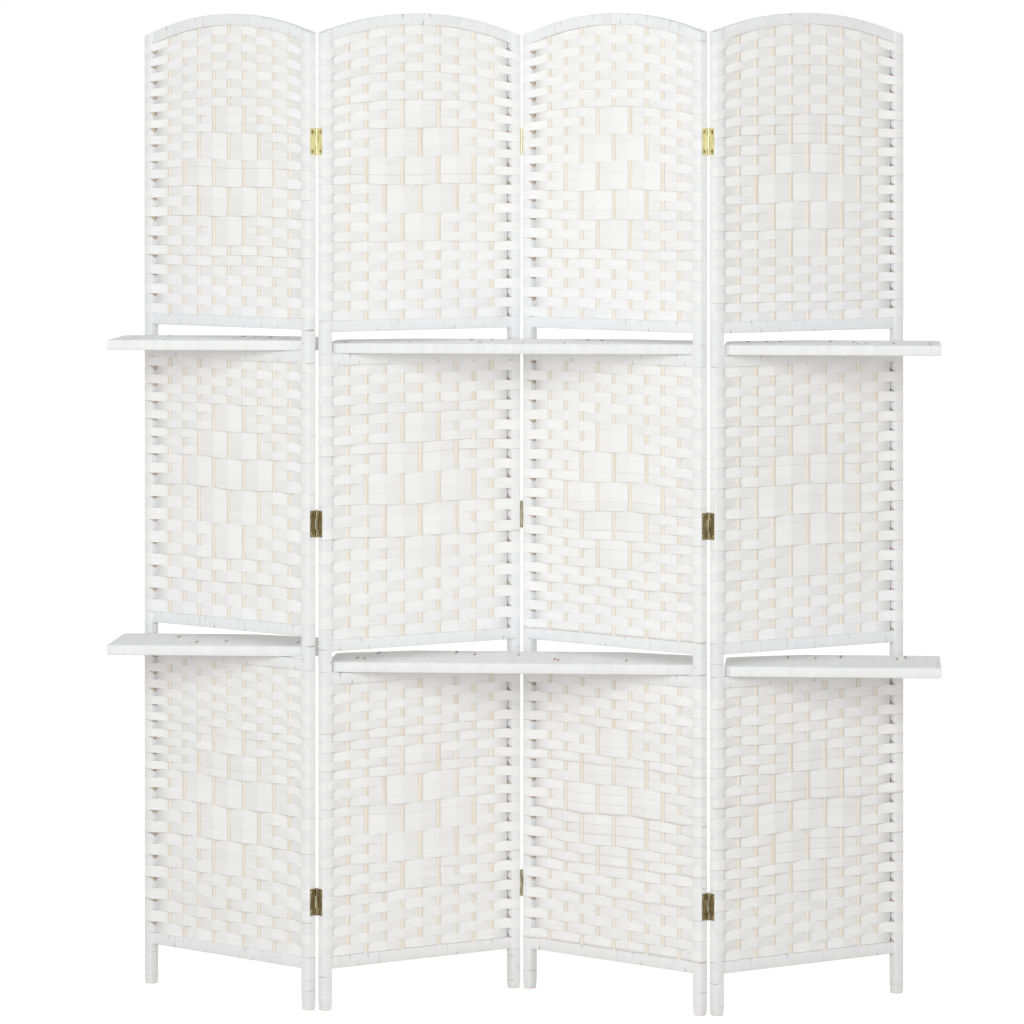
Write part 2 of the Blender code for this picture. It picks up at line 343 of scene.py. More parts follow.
def bump(finish, height, strength, distance):
    node = finish.node_tree.nodes.new("ShaderNodeBump")
    node.inputs["Strength"].default_value = strength
    node.inputs["Distance"].default_value = distance
    finish.node_tree.links.new(height, node.inputs["Height"])
    finish.node_tree.links.new(node.outputs["Normal"], shader_of(finish).inputs["Normal"])


def paper_finish(name, light, dark, streak_scale):
    """Paper with fine ribs and broad streaks. Where the seam attribute is high, painted shade darkens it.
    """
    finish = new_finish(name, 0.72)
    ribs = stretched_noise(finish, "UV", (30.0, 1000.0, 1.0), 3.0)
    tone = stretched_noise(finish, "UV", (4.0, 9.0, 1.0), 1.0)
    streaks = stretched_noise(finish, "UV", streak_scale, 2.0)
    seam = finish.node_tree.nodes.new("ShaderNodeAttribute")
    seam.attribute_name = "seam"
    colour = ramp(finish, tone, ((0.30, dark), (0.62, light)))
    colour = multiply(finish, colour, ramp(finish, ribs, ((0.32, (0.975,) * 3), (0.58, (1.0,) * 3))))
    colour = multiply(finish, colour, ramp(finish, streaks, ((0.36, (0.972,) * 3), (0.60, (1.0,) * 3))))
    # Painted shade: where the seam attribute is high, the paper is darkened towards the seam colour.
    painted_seam_shade = ramp(finish, seam.outputs["Fac"], ((0.0, (1.0,) * 3), (1.0, seam_shade_colour)))
    colour = multiply(finish, colour, painted_seam_shade)
    shader = shader_of(finish)
    finish.node_tree.links.new(colour, shader.inputs["Base Color"])
    shader.inputs["Specular IOR Level"].default_value = 0.25
    bump(finish, ribs, 0.35, 0.0005)
    return finish


# The colour of the painted shade along the seams between rows and between turns.
seam_shade_colour = (0.50, 0.44, 0.38)
# The three are one paper ribbon in lighter and darker copies: the woven one is lighter, painted light that
# offsets the shade in the weave's hollows.
ribbon_paper = paper_finish("woven_ribbon", (0.962, 0.960, 0.958), (0.922, 0.920, 0.918), (9.0, 330.0, 1.0))
wrap_paper = paper_finish("wrapped_ribbon", (0.918, 0.919, 0.924), (0.888, 0.889, 0.894), (9.0, 330.0, 1.0))
board_paper = paper_finish("board_ribbon", (0.905, 0.905, 0.907), (0.877, 0.877, 0.88), (6.0, 60.0, 1.0))
print("Paper finishes:", ribbon_paper.name, wrap_paper.name, board_paper.name)

# %% [markdown]
# The sticks are pale split wood with a darker grain that runs up them, and the posts and rails
# are softwood under the paper, which shows in small brown gaps.

# %% Wood finishes
def wood_finish(name, light, dark, scale):
    finish = new_finish(name, 0.6)
    grain = stretched_noise(finish, "UV", scale, 3.0)
    colour = ramp(finish, grain, ((0.36, dark), (0.60, light)))
    finish.node_tree.links.new(colour, shader_of(finish).inputs["Base Color"])
    bump(finish, grain, 0.3, 0.0003)
    return finish


stick_wood = wood_finish("stick_wood", (0.925, 0.86, 0.76), (0.83, 0.745, 0.63), (500.0, 9.0, 1.0))
core_wood = wood_finish("core_wood", (0.80, 0.67, 0.53), (0.56, 0.44, 0.32), (500.0, 12.0, 1.0))
print("Wood finishes:", stick_wood.name, core_wood.name)

# %% [markdown]
# ## How the field is woven
#
# The sticks are counted 1 to 9 from the left, and the posts are 0 and 10. In plain weave the
# ribbon passes behind every second stick, and each row starts one stick later than the row
# under it. In the diamond three rows pass together as one block: the middle row of a block
# takes the same way as the two beside it, for as many sticks as the diamond is wide there.

# %% Weave rule
stick_count = 9
block_rows = 3
blocks_high = 5
widest_reach = 3


def ribbon_behind(stick, row, first_block_row):
    """Whether the ribbon of a row passes behind a stick, so that the stick shows."""
    behind = (stick + row - first_block_row) % 2 == 0
    block, place_in_block = divmod(row - first_block_row, block_rows)
    if 0 <= block < blocks_high and place_in_block == 1:
        middle = (stick_count + 1) // 2
        if abs(stick - middle) <= widest_reach - abs(block - blocks_high // 2):
            behind = not behind
    return behind


fields = {
    (1, "upper"): (31, 7, 1.426), (1, "middle"): (25, 5, 0.908), (1, "lower"): (29, 6, 0.356),
    (2, "upper"): (31, 8, 1.431), (2, "middle"): (26, 6, 0.884), (2, "lower"): (28, 6, 0.317),
    (3, "upper"): (31, 7, 1.421), (3, "middle"): (28, 7, 0.866), (3, "lower"): (27, 7, 0.345),
    (4, "upper"): (31, 7, 1.398), (4, "middle"): (27, 6, 0.865), (4, "lower"): (27, 6, 0.324),
}
for row in range(12, 5, -1):
    print("".join("|" if ribbon_behind(stick, row, 5) else "-" for stick in range(11)))

# %% [markdown]
# ## The room of each field
#
# Each field lies between two rails, or between a rail and the arch. The rails' places come from
# the frame. The arch is part of a circle through its crest and the tops of the posts.

# %% Field heights
rail_height = 0.020
arch_rise = 0.035
arch_thickness = 0.020
screen_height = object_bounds()[1][2]


def arch_height(x, drop=0.0):
    half_span = panel_width / 2
    radius = (half_span ** 2 + arch_rise ** 2) / (2 * arch_rise)
    return screen_height - radius + math.sqrt((radius - drop) ** 2 - (x - half_span) ** 2)


def field_room(number, level):
    low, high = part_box(f"panel_{number}_{level}_weave")
    top = high.z if level == "upper" else high.z - rail_height
    return low.z + rail_height, top


rooms = {key: field_room(*key) for key in fields}
for key, room in rooms.items():
    print(key, [round(value, 4) for value in room])

# %% [markdown]
# ## Rows of ribbon
#
# The rows are not evenly spaced: the weaver beats them down by hand, so each field has its own
# count, and the diamond sits where it came out. The rows of an arched field bend gradually to
# follow the arch, and bunch where it comes down. A slow wave keeps them from looking ruled.

# %% Row heights
arch_follow = 3.0
wave_height = 0.0012


def row_edge(number, level, edge, x):
    """Height of the line between two rows, at a place across the panel."""
    rows, first, centre = fields[number, level]
    low, high = rooms[number, level]
    middle_row = first + block_rows * blocks_high / 2
    if edge <= middle_row:
        z = low + (centre - low) * edge / middle_row
    else:
        z = centre + (high - centre) * (edge - middle_row) / (rows - middle_row)
    share = (z - low) / (high - low)
    wave = math.sin(math.pi * share) * wave_height
    long_wave = math.sin(17.0 * x + 9.0 * share + 1.7 * number)
    short_wave = math.sin(31.0 * x - 5.0 * share + number)
    z += wave * long_wave + wave * short_wave
    if level == "upper":
        z -= (high - arch_height(x, arch_thickness + seat_gap)) * share ** arch_follow
    return z


print("Lowest rows of panel 1:", [round(row_edge(1, "lower", edge, 0.2), 4) for edge in range(4)])

# %% [markdown]
# ## Sticks
#
# Each stick runs from the rail below the field to the rail above it. It starts as a circle of
# ten points, which is extruded upward and flattened, so it looks split and not turned.

# %% Make the sticks
stick_radius = 0.0039
stick_depth = 0.0018
stick_sides = 10
stick_seat = 0.002
stick_uv_step = 0.37


def stick_x(stick):
    return span_start + stick * (span_end - span_start) / (stick_count + 1)


def make_sticks(number, level):
    low, high = rooms[number, level]
    shape = bmesh.new()
    uv_map = shape.loops.layers.uv.verify()
    for stick in range(1, stick_count + 1):
        x = stick_x(stick)
        top = arch_height(x, arch_thickness) if level == "upper" else high
        ring = bmesh.ops.create_circle(shape, cap_ends=True, segments=stick_sides, radius=stick_radius,
                                       matrix=Matrix.Translation((x, 0.0, low - stick_seat)))
        base = ring["verts"][0].link_faces[0]
        grown = bmesh.ops.extrude_face_region(shape, geom=[base], use_keep_orig=True)
        lifted = [item for item in grown["geom"] if isinstance(item, bmesh.types.BMVert)]
        bmesh.ops.translate(shape, verts=lifted, vec=(0.0, 0.0, top - low + 2 * stick_seat))
        rod = ring["verts"] + lifted
        bmesh.ops.scale(shape, verts=rod, vec=(1.0, stick_depth / stick_radius, 1.0))
        for face in {face for vert in rod for face in vert.link_faces}:
            for loop in face.loops:
                loop[uv_map].uv = (loop.vert.co.x + stick * stick_uv_step, loop.vert.co.z + number)
    bmesh.ops.recalc_face_normals(shape, faces=shape.faces)
    name = f"panel_{number}_{level}_sticks"
    return add_piece(name, shape, f"panel_{number}", [stick_wood], panels[number])


for key in fields:
    make_sticks(*key)
print("Sticks:", stick_count * len(fields))

# %% [markdown]
# ## Woven ribbon
#
# A taut ribbon runs straight from stick to stick and creases where it passes over one, so a
# row's path has a point a little before and after each stick. The posts are thick, so a ribbon
# swings further out to pass them. From behind a near post it comes forward at once, so hardly
# any recess shows there, and at the far posts it comes forward later. Every row is one strip, a
# little arched across its width. Where rows don't close up, painted shade darkens the line
# between them.

# %% Weave the ribbons
ribbon_thickness = 0.0004
ribbon_share = 0.995
ribbon_crown = 0.0001
crease_half = 0.0015
crease_ease = 0.93
ribbon_lean = 0.0003
row_uv_step = 0.31
strip_places = (0.0, 0.06, 0.28, 0.50, 0.72, 0.94, 1.0)
post_wrap = post_side / 2 + 0.0003
post_wrap_corner = 0.0014
post_wrap_back = 0.005
far_posts = {(1, "left"), (2, "right"), (3, "left"), (4, "right")}
front_run = [(0.0080, -0.0045)]
far_run = [(0.0055, 0.0)]
near_run = [(0.0006, 0.0060), (0.0010, -0.0008), (0.0022, -0.0014)]
block_seam_odds = 0.8
stray_seam_odds = 0.15
seam_spread = 0.4
shaded_row_line_odds = {(2, "lower"): 0.35, (3, "lower"): 0.7, (4, "lower"): 0.6, (3, "middle"): 0.35}


def round_the_post():
    """The ribbon's way over the left post: up its outer side, over its face, and off to stick 1.

    Each point is a place across the panel, and how far it stands out on the ribbon's side.
    """
    middle = post_side / 2
    corner = post_wrap - post_wrap_corner
    points = [(middle - post_wrap, -post_wrap_back), (middle - post_wrap, 0.0)]
    for step in range(4):
        angle = step * math.pi / 6
        points.append((middle - corner - post_wrap_corner * math.cos(angle),
                       corner + post_wrap_corner * math.sin(angle)))
    points.append((middle, post_wrap))
    for step in range(2):
        angle = step * math.pi / 8
        points.append((middle + corner + post_wrap_corner * math.sin(angle),
                       corner + post_wrap_corner * math.cos(angle)))
    return points


def off_the_post(side, post):
    """Points between a post and the stick next to it: how far along, and how far to the back."""
    if side < 0:
        return front_run
    if post in far_posts:
        return far_run
    return near_run


def row_path(number, row, first_block_row):
    """Places of a row across the panel, and how far to the back each lies. In front is below zero."""
    path = []
    clear = stick_depth + ribbon_thickness / 2
    ease = clear * crease_ease
    left_side = 1 if ribbon_behind(0, row, first_block_row) else -1
    right_side = 1 if ribbon_behind(stick_count + 1, row, first_block_row) else -1
    wrap = round_the_post()
    path += [(x, left_side * out) for x, out in wrap]
    path += [(post_side + reach, out) for reach, out in off_the_post(left_side, (number, "left"))]
    for stick in range(1, stick_count + 1):
        side = 1 if ribbon_behind(stick, row, first_block_row) else -1
        x = stick_x(stick)
        path += [(x - crease_half, side * ease), (x, side * clear), (x + crease_half, side * ease)]
        if stick < stick_count:
            after = 1 if ribbon_behind(stick + 1, row, first_block_row) else -1
            path.append(((x + stick_x(stick + 1)) / 2, (side + after) / 2 * clear))
    path += [(panel_width - post_side - reach, out)
             for reach, out in reversed(off_the_post(right_side, (number, "right")))]
    path += [(panel_width - x, right_side * out) for x, out in reversed(wrap)]
    return path


def dark_seam(rng, field, edge, first_block_row):
    """How dark the painted shade under a row is: often dark between rows of blocks and in a loose weave."""
    block, place_in_block = divmod(edge - first_block_row, block_rows)
    if place_in_block == 0 and 0 <= block <= blocks_high and rng.random() < block_seam_odds:
        return rng.uniform(0.6, 1.0)
    if rng.random() < shaded_row_line_odds.get(field, stray_seam_odds):
        return rng.uniform(0.3, 0.9)
    return 0.0


def make_ribbons(number, level):
    rows, first, centre = fields[number, level]
    shape = bmesh.new()
    rng = random.Random(f"ribbons {number} {level}")
    for row in range(rows):
        path = row_path(number, row, first)
        shift = rng.uniform(0.0, 40.0)
        lean = rng.uniform(-ribbon_lean, ribbon_lean)
        # Painted shade: the row's lower edge is darkened, and in a loose weave a wider band of it.
        seam = dark_seam(rng, (number, level), row, first)
        spread = seam_spread if rng.random() < shaded_row_line_odds.get((number, level), 0.0) / 2 else 0.0
        seam_shares = {0: 1.0, 1: spread}

        def place(i, j):
            x, y = path[i]
            v = strip_places[j]
            low = row_edge(number, level, row, x)
            high = row_edge(number, level, row + 1, x)
            across = (v - 0.5) * ribbon_share
            z = (low + high) / 2 + across * (high - low)
            y -= ribbon_crown * (1 - (2 * v - 1) ** 2) + lean * (2 * v - 1)
            uv = (x + shift, v * (high - low) + row * row_uv_step)
            return (x, y, z), uv, seam * seam_shares.get(j, 0.0)

        bent_strip(shape, len(path) - 1, len(strip_places) - 1, place)
    name = f"panel_{number}_{level}_ribbons"
    node = f"panel_{number}_{level}_weave"
    return add_piece(name, shape, f"panel_{number}", [ribbon_paper], panels[number],
                     ribbon_thickness, [node])


for key in fields:
    make_ribbons(*key)
print("Rows of ribbon:", sum(rows for rows, first, centre in fields.values()))

# %% [markdown]
# ## Wrapping
#
# The posts and rails are softwood with paper ribbon wound round them. Each turn is a belt that
# goes once round the wood, and its two edges are turned in. One edge of a turn lies under the
# next, so it stands a little less proud there, which draws the fine line of the seam. The belt
# is a strip again, bent round a rectangle with rounded corners.

# %% Belt helper
belt_tuck = 0.0008
turn_wander = 0.22
turn_lean = 0.12
bold_odds = 0.12
bold_stand = 0.00016
plain_stand = 0.00006
under_stand = 0.00005


def rounded_outline(half_a, half_b, radius):
    """Points round a rounded rectangle from the middle of its back: place, direction out, distance.

    Each side has a point in its middle and each corner has three.
    """
    points = []
    for quarter in range(4):
        angle = math.pi / 2 - quarter * math.pi / 2
        out = (round(math.cos(angle)), round(math.sin(angle)))
        points.append(((half_a * out[0], half_b * out[1]), out))
        for step in range(3):
            angle = math.pi / 2 - (quarter + step / 2) * math.pi / 2
            out = (math.cos(angle), math.sin(angle))
            corner_a = (half_a - radius) * (1 if quarter in (0, 1) else -1)
            corner_b = (half_b - radius) * (1 if quarter in (0, 3) else -1)
            points.append(((corner_a + radius * out[0], corner_b + radius * out[1]), out))
    points.append(points[0])
    outline = []
    distance = 0.0
    for number, (point, out) in enumerate(points):
        if number:
            distance += math.dist(point, points[number - 1][0])
        outline.append((point, out, distance))
    return outline


def add_belt(shape, outline, place_at, low, high, proud, shift, tuck=belt_tuck, seam=0.0):
    """One turn between low(a, b) and high(a, b), which stands proud at its two edges."""
    across = ((0.0, -tuck, 0.0), (0.0, proud[0], 0.0), (0.5, (proud[0] + proud[1]) / 2, 0.0),
              (0.93, proud[0] * 0.07 + proud[1] * 0.93, 0.0), (1.0, proud[1], seam), (1.0, -tuck, seam))

    def place(i, j):
        (a, b), out, distance = outline[i]
        share, stand, dark = across[j]
        s = low(a, b) + (high(a, b) - low(a, b)) * share
        return place_at(s, a + out[0] * stand, b + out[1] * stand), (distance + shift, s + shift), dark

    bent_strip(shape, len(outline) - 1, len(across) - 1, place)


def plain_turns(rng, start, end, pitch):
    """Starts and ends of the turns between two places, with the lean, stand and seam of each."""
    count = max(1, round((end - start) / pitch))
    edges = [start + (end - start) * step / count for step in range(count + 1)]
    for step in range(1, count):
        edges[step] += rng.uniform(-turn_wander, turn_wander) * pitch
    turns = []
    for low, high in zip(edges, edges[1:]):
        lean = rng.uniform(-turn_lean, turn_lean)
        bold = rng.random() < bold_odds
        stand = bold_stand if bold else plain_stand
        # Painted shade: the seam of a bold turn is darkened.
        seam = rng.uniform(0.2, 0.6) if bold else 0.0
        turns.append((low, high, lean, (under_stand, stand), seam))
    return turns


print("A belt has", (len(rounded_outline(0.01, 0.01, 0.002)) - 1) * 5, "faces")

# %% [markdown]
# ## Straight rails
#
# A rail lies under each field, and another over each field that has no arch. It is a slim
# rod wound with ribbon, so it is a row of belts. The turns are wound by hand: their widths and
# slants differ a little, and here and there one stands out more, with painted shade in its seam.

# %% Wrap the straight rails
rail_depth = 0.013
rail_half_height = rail_height / 2 - 0.0004
rail_half_depth = rail_depth / 2 - 0.0001
rail_corner = 0.0018
rail_turn = 0.019
rail_overlap = 0.001


def make_rail(name, number, middle_height):
    rng = random.Random(name)
    shape = bmesh.new()
    outline = rounded_outline(rail_half_height, rail_half_depth, rail_corner)

    def place_at(s, a, b):
        return (s, b, middle_height + a)

    start = post_side - rail_overlap
    end = panel_width - post_side + rail_overlap
    for low, high, lean, proud, seam in plain_turns(rng, start, end, rail_turn):
        add_belt(shape, outline, place_at, lambda a, b: low + lean * a, lambda a, b: high + lean * a, proud,
                 rng.uniform(0.0, 30.0), seam=seam)
    bmesh.ops.recalc_face_normals(shape, faces=shape.faces)
    return add_piece(name, shape, f"panel_{number}", [wrap_paper], panels[number])


rails = 0
for (number, level), (low, high) in rooms.items():
    make_rail(f"panel_{number}_{level}_rail_under", number, low - rail_height / 2)
    rails += 1
    if level != "upper":
        make_rail(f"panel_{number}_{level}_rail_over", number, high + rail_height / 2)
        rails += 1
print("Straight rails:", rails)

# %% [markdown]
# ## Arched rails
#
# The same belts, carried round the arch: a turn's place along the rail becomes an angle round
# the arch's centre, so the seams point at that centre as they do on the real rail.

# %% Wrap the arches
arch_radius = ((panel_width / 2) ** 2 + arch_rise ** 2) / (2 * arch_rise)
arch_middle = arch_radius - arch_thickness / 2
arch_centre_height = screen_height - arch_radius
arch_overlap = 0.002


def make_arch(number):
    name = f"panel_{number}_arch_wrap"
    rng = random.Random(name)
    shape = bmesh.new()
    outline = rounded_outline(rail_half_height, rail_half_depth, rail_corner)

    def place_at(s, a, b):
        angle = s / arch_middle
        reach = arch_middle + a
        return (panel_width / 2 + reach * math.sin(angle), b, arch_centre_height + reach * math.cos(angle))

    half_run = arch_middle * math.asin((panel_width / 2 - post_side + arch_overlap) / arch_middle)
    for low, high, lean, proud, seam in plain_turns(rng, -half_run, half_run, rail_turn):
        add_belt(shape, outline, place_at, lambda a, b: low + lean * a, lambda a, b: high + lean * a, proud,
                 rng.uniform(0.0, 30.0), seam=seam)
    bmesh.ops.recalc_face_normals(shape, faces=shape.faces)
    return add_piece(name, shape, f"panel_{number}", [wrap_paper], panels[number],
                     replaced=[f"panel_{number}_arch_rail"])


for number in panels:
    make_arch(number)
print("Arched rails:", len(panels))

# %% [markdown]
# ## Posts
#
# Beside a field, the ribbon of one row goes over the front of the post, and the ribbon of the
# next goes behind it. There the wrapping of the post shows, and because the ribbon comes back
# at a slant, a small wedge of bare wood shows at its edge on the posts that stand further back.
# Each post is a core of wood with a belt for each row, and with plain turns where there is no
# field.

# %% Wrap the posts
core_half = 0.0077
core_corner = 0.002
sleeve_half = 0.0088
sleeve_corner = 0.0014
plain_turn = 0.019
closed_end = 0.97
top_overlap = 0.01
top_gap = 0.0004
core_foot_gap = 0.0006
core_top_gap = 0.002
smallest_turn = 0.001
foot_stand = (-0.0012, 0.0001)
top_stand = (0.0001, 0.0)
shown_stand = (0.0001, 0.0001)
hidden_stand = (-0.0001, -0.0001)
shaded_seam_odds = 0.2
left_wedge = 0.0075
right_wedge = 0.0085


def post_rows(number, x):
    """Heights of every row beside a post, from the lowest, and whether the ribbon goes behind."""
    rows = []
    for level in ("lower", "middle", "upper"):
        count, first, centre = fields[number, level]
        stick = 0 if x < panel_width / 2 else stick_count + 1
        for row in range(count):
            edges = [row_edge(number, level, row + step, x) for step in (0, 1)]
            rows.append((edges[0], edges[1], ribbon_behind(stick, row, first)))
    return rows


def post_levels(rng, number, middle, inner):
    """Every turn of a post from its foot up: its edges, whether the ribbon passes behind, and more.

    A plain turn has None there, and then its lean, stand and seam, which a row's turn doesn't have.
    """
    rows = post_rows(number, inner)
    levels = []
    for low, high, behind in rows:
        last = levels[-1][1] if levels else 0.0
        if low - last > smallest_turn:
            levels += [(start, end, None, lean, proud, seam)
                       for start, end, lean, proud, seam in plain_turns(rng, last, low, plain_turn)]
        levels.append((low, high, behind, None, None, None))
    levels += [(start, end, None, lean, proud, seam) for start, end, lean, proud, seam
               in plain_turns(rng, rows[-1][1], arch_height(middle), plain_turn)]
    return levels


def make_post(number, side):
    name = f"panel_{number}_{side}_post_wrap"
    rng = random.Random(name)
    inward = 1 if side == "left" else -1
    middle = post_side / 2 if side == "left" else panel_width - post_side / 2
    inner = middle + inward * post_side / 2
    outline = rounded_outline(sleeve_half, sleeve_half, sleeve_corner)
    far = (number, side) in far_posts
    shape = bmesh.new()

    def place_at(s, a, b):
        return (middle + a, b, min(s, arch_height(middle + a) - top_gap))

    def slant(a, b):
        """How far a turn's edge draws back: most at the post's inner side, towards its back."""
        inner_share = max(0.0, a * inward / sleeve_half) ** 2
        back_share = (b / sleeve_half + 1) / 2
        if side == "right":
            return inner_share * back_share
        return inner_share * (0.25 + 1.5 * back_share if back_share < 0.6 else 1.3 - back_share)

    levels = post_levels(rng, number, middle, inner)
    for low, high, behind, lean, proud, seam in levels:
        shift = rng.uniform(0.0, 30.0)
        first, last = low == 0.0, high == levels[-1][1]
        if behind is None:
            tuck = sleeve_half * closed_end if first or last else belt_tuck
            lean = 0.0 if first else lean
            grow = top_overlap if last else 0.0
            stand = foot_stand if first else top_stand if last else proud
            add_belt(shape, outline, place_at, lambda a, b: low + lean * a,
                     lambda a, b: high + lean * a + grow, stand, shift, tuck, seam)
        elif behind:
            size = (left_wedge if side == "left" else right_wedge) * rng.uniform(0.5, 1.2) if far else 0.0
            up = size if side == "right" else 0.0
            down = size if side == "left" else 0.0
            # Painted shade: on some of the turns that show beside a field, the seam is darkened.
            seam = rng.uniform(0.3, 0.8) if rng.random() < shaded_seam_odds else 0.0
            add_belt(shape, outline, place_at, lambda a, b: low + up * slant(a, b),
                     lambda a, b: high - down * slant(a, b), shown_stand, shift, seam=seam)
        else:
            add_belt(shape, outline, place_at, lambda a, b: low, lambda a, b: high, hidden_stand, shift)
    bmesh.ops.recalc_face_normals(shape, faces=shape.faces)
    add_piece(name, shape, f"panel_{number}", [wrap_paper], panels[number],
              replaced=[f"panel_{number}_{side}_post"])

    core = bmesh.new()
    uv_map = core.loops.layers.uv.verify()
    bmesh.ops.create_cube(core, size=1.0)
    bmesh.ops.scale(core, verts=core.verts, vec=(2 * core_half, 2 * core_half, 1.0))
    bmesh.ops.translate(core, verts=core.verts, vec=(middle, 0.0, 0.5))
    for vert in core.verts:
        vert.co.z = core_foot_gap if vert.co.z < 0.5 else arch_height(vert.co.x) - core_top_gap
    upright = [edge for edge in core.edges if abs(edge.verts[0].co.z - edge.verts[1].co.z) > 0.5]
    bmesh.ops.bevel(core, geom=upright, offset=core_corner, segments=2, profile=0.5,
                    affect="EDGES", material=-1)
    for face in core.faces:
        for loop in face.loops:
            loop[uv_map].uv = (loop.vert.co.x + loop.vert.co.y, loop.vert.co.z)
    add_piece(f"panel_{number}_{side}_post_core", core, f"panel_{number}", [core_wood],
              panels[number])


for number in panels:
    for side in ("left", "right"):
        make_post(number, side)
print("Posts:", 2 * len(panels))

# %% [markdown]
# ## Boards
#
# A board is a plank with ribbon wound round it crosswise, so its turns cross the top and go down
# over the front edge. Here and there a few narrow turns are squeezed together, and two turns
# part for a few centimetres, which leaves a slit where the wood shows. The corners of the ends
# that lie by a near post are cut off, and the turns there are shorter. The right boards start a
# little further left than the bare ones, so that no gap shows beside the post.

# %% Wrap the boards
clip_x, clip_y = 0.010, 0.013
back_clip_x, back_clip_y = 0.130, 0.048
board_corner = 0.003
end_reach = 0.0026
board_skin = 0.0001
board_core_depth = 0.0015
depth_steps = 12
narrow_odds = 0.13
narrow_widths = (0.002, 0.005)
turn_widths = (0.012, 0.021)
narrow_limit = 0.007
narrow_stand = -0.00025
closed_stand = -0.0008
closed_board_end = 0.48
slit_odds = 0.18
slit_places = (-0.036, -0.020, 0.044, 0.060)
slit_sizes = (0.0014, 0.0028)
slit_half_length = 0.018
slit_depth = 0.001
clipped = {"left": (False, True), "middle": (True, True), "right": (True, False)}


def board_section(depth, thickness):
    """Points round the board's cross-section, with steps across its top and its underside."""
    corners = rounded_outline(depth / 2 - board_skin, thickness / 2 - board_skin, board_corner)
    flat = depth - 2 * board_corner
    steps = [flat * step / depth_steps - flat / 2 for step in range(1, depth_steps)]
    half = thickness / 2 - board_skin
    top = [((a, half), (0.0, 1.0)) for a in steps]
    under = [((a, -half), (0.0, -1.0)) for a in reversed(steps)]
    points = top + [item[:2] for item in corners[1:8]] + under + [item[:2] for item in corners[9:16]]
    points.append(points[0])
    section = []
    distance = 0.0
    for number, (point, out) in enumerate(points):
        if number:
            distance += math.dist(point, points[number - 1][0])
        section.append((point, out, distance))
    return section


def turn_edges(rng, length):
    """Places along a board where its turns meet, and the slit at each: its place in depth and its size."""
    widths = []
    while sum(widths) < length - 2 * clip_x:
        if rng.random() < narrow_odds:
            widths += [rng.uniform(*narrow_widths) for number in range(3)]
        else:
            widths.append(rng.uniform(*turn_widths))
    stretch = (length - 2 * clip_x) / sum(widths)
    edges = [0.0, clip_x]
    for width in widths:
        edges.append(edges[-1] + width * stretch)
    edges.append(length)
    slits = [None] * len(edges)
    for number in range(2, len(edges) - 2):
        if rng.random() < slit_odds:
            slits[number] = (rng.choice(slit_places), rng.uniform(*slit_sizes))
    return edges, slits


def make_board(level, place):
    node = f"{level}_{place}_board"
    rng = random.Random(node)
    low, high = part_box(node)
    if place == "right":
        low.x -= end_reach
    length, depth, thickness = high - low
    clip_left, clip_right = clipped[place]

    def from_clip(s, reach, size):
        """How far the outline is drawn in at a place along the board."""
        left = max(0.0, 1 - s / reach) if clip_left else 0.0
        right = max(0.0, 1 - (length - s) / reach) if clip_right else 0.0
        return size * (left + right)

    def place_at(s, a, b):
        front = from_clip(s, clip_x, clip_y)
        back = depth - from_clip(s, back_clip_x, back_clip_y)
        y = front + (a + depth / 2) / depth * (back - front)
        return (low.x + s, low.y + y, (low.z + high.z) / 2 + b)

    def slit_at(slit, a, b):
        if slit is None or b < thickness / 2 - slit_depth or abs(a - slit[0]) > slit_half_length:
            return 0.0
        return slit[1]

    section = board_section(depth, thickness)
    edges, slits = turn_edges(rng, length)
    shape = bmesh.new()
    for number in range(len(edges) - 1):
        start, end = edges[number], edges[number + 1]
        ends = number in (0, len(edges) - 2)
        narrow = end - start < narrow_limit
        stand = (narrow_stand if narrow else 0.0, 0.0)
        if ends:
            stand = (closed_stand, 0.0) if number == 0 else (0.0, closed_stand)
        # Painted shade: the seams of narrow squeezed turns are darkened, and the others only faintly.
        seam = rng.uniform(0.2, 0.5) if narrow else rng.uniform(0.0, 0.12)
        add_belt(shape, section, place_at,
                 lambda a, b: start + slit_at(slits[number], a, b),
                 lambda a, b: end - slit_at(slits[number + 1], a, b),
                 stand, rng.uniform(0.0, 30.0), thickness * closed_board_end if ends else belt_tuck, seam)
    bmesh.ops.recalc_face_normals(shape, faces=shape.faces)
    add_piece(f"{node}_wrap", shape, node, [board_paper], replaced=[node])

    core = bmesh.new()
    uv_map = core.loops.layers.uv.verify()
    inset = board_core_depth
    front = [(s, from_clip(s, clip_x, clip_y) + inset)
             for s in (inset, clip_x, length - clip_x, length - inset)]
    back = [(s, depth - from_clip(s, back_clip_x, back_clip_y) - inset)
            for s in (length - inset, length - back_clip_x, back_clip_x, inset)]
    corners = [core.verts.new((low.x + s, low.y + y, low.z + inset)) for s, y in front + back]
    base = bmesh.ops.contextual_create(core, geom=corners)["faces"]
    grown = bmesh.ops.extrude_face_region(core, geom=base, use_keep_orig=True)
    lifted = [item for item in grown["geom"] if isinstance(item, bmesh.types.BMVert)]
    bmesh.ops.translate(core, verts=lifted, vec=(0.0, 0.0, thickness - 2 * inset))
    bmesh.ops.recalc_face_normals(core, faces=core.faces)
    for face in core.faces:
        for loop in face.loops:
            loop[uv_map].uv = (loop.vert.co.y, loop.vert.co.x)
    add_piece(f"{node}_core", core, node, [core_wood])
    return len(edges) - 1


for level in ("lower", "upper"):
    for place in clipped:
        print(level, place, "board:", make_board(level, place), "turns")

# %% [markdown]
# ## Hinges
#
# The hinges are the bare model's own leaves and pins, and get a brass finish: bright on the top
# ones and darker on the others. The stains come from noise on the object's own
# coordinates, and the same noise makes the metal a little uneven.

# %% Brass
def brass_finish(name, light, dark, roughness):
    finish = new_finish(name, roughness, 1.0)
    stain = stretched_noise(finish, "Object", (140.0, 140.0, 90.0), 4.0)
    colour = ramp(finish, stain, ((0.35, dark), (0.65, light)))
    finish.node_tree.links.new(colour, shader_of(finish).inputs["Base Color"])
    bump(finish, stain, 0.15, 0.0003)
    return finish


